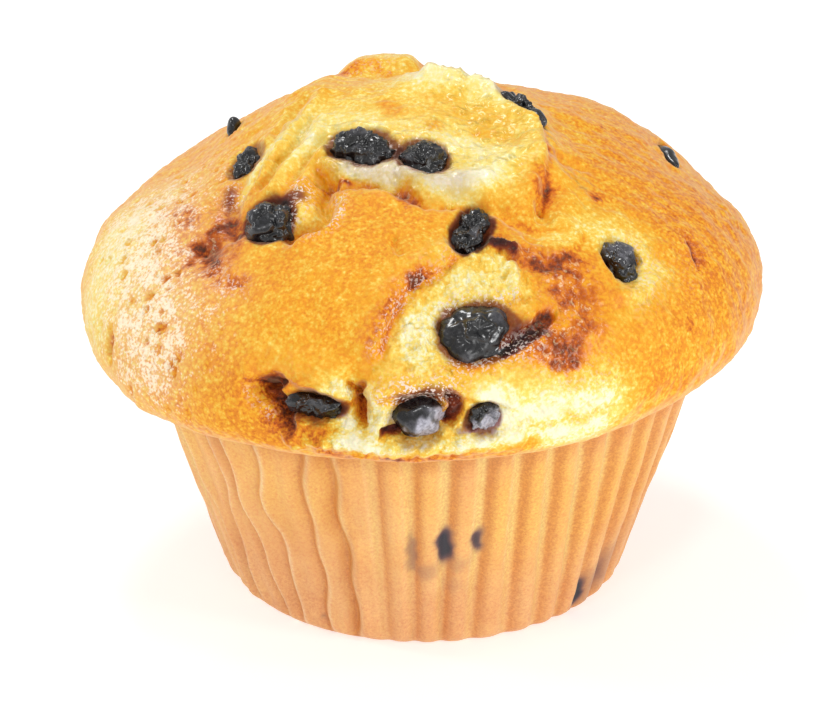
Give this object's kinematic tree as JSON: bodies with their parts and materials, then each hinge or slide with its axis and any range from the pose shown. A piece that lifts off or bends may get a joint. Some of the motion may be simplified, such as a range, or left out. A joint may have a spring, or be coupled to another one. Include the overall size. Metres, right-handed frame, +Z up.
{
  "type": "berry muffin in a paper case",
  "caption": "Domed muffin with a cracked golden crust and dark dried berries, baked over the rim of its fluted paper case.",
  "frame": {"origin": "centre of the paper case's flat base, where it stands", "axes": "+Z up through the crown, -Y towards the front of the crust with the largest berry, +X to the right seen from the front"},
  "size_m": [0.0854, 0.0835, 0.0642],
  "materials": {
    "crumb": "baked golden crust, slightly glossy",
    "paper": "translucent greaseproof paper",
    "berry": "dried wrinkled berry skin, semi-gloss"
  },
  "bodies": {
    "root": {"cake": "crumb", "paper_case": "paper", "berry_01": "berry", "berry_02": "berry", "berry_03": "berry", "berry_04": "berry", "berry_05": "berry", "berry_06": "berry", "berry_07": "berry", "berry_08": "berry", "berry_09": "berry", "berry_10": "berry", "berry_11": "berry", "berry_12": "berry", "berry_13": "berry"}
  },
  "joints": []
}
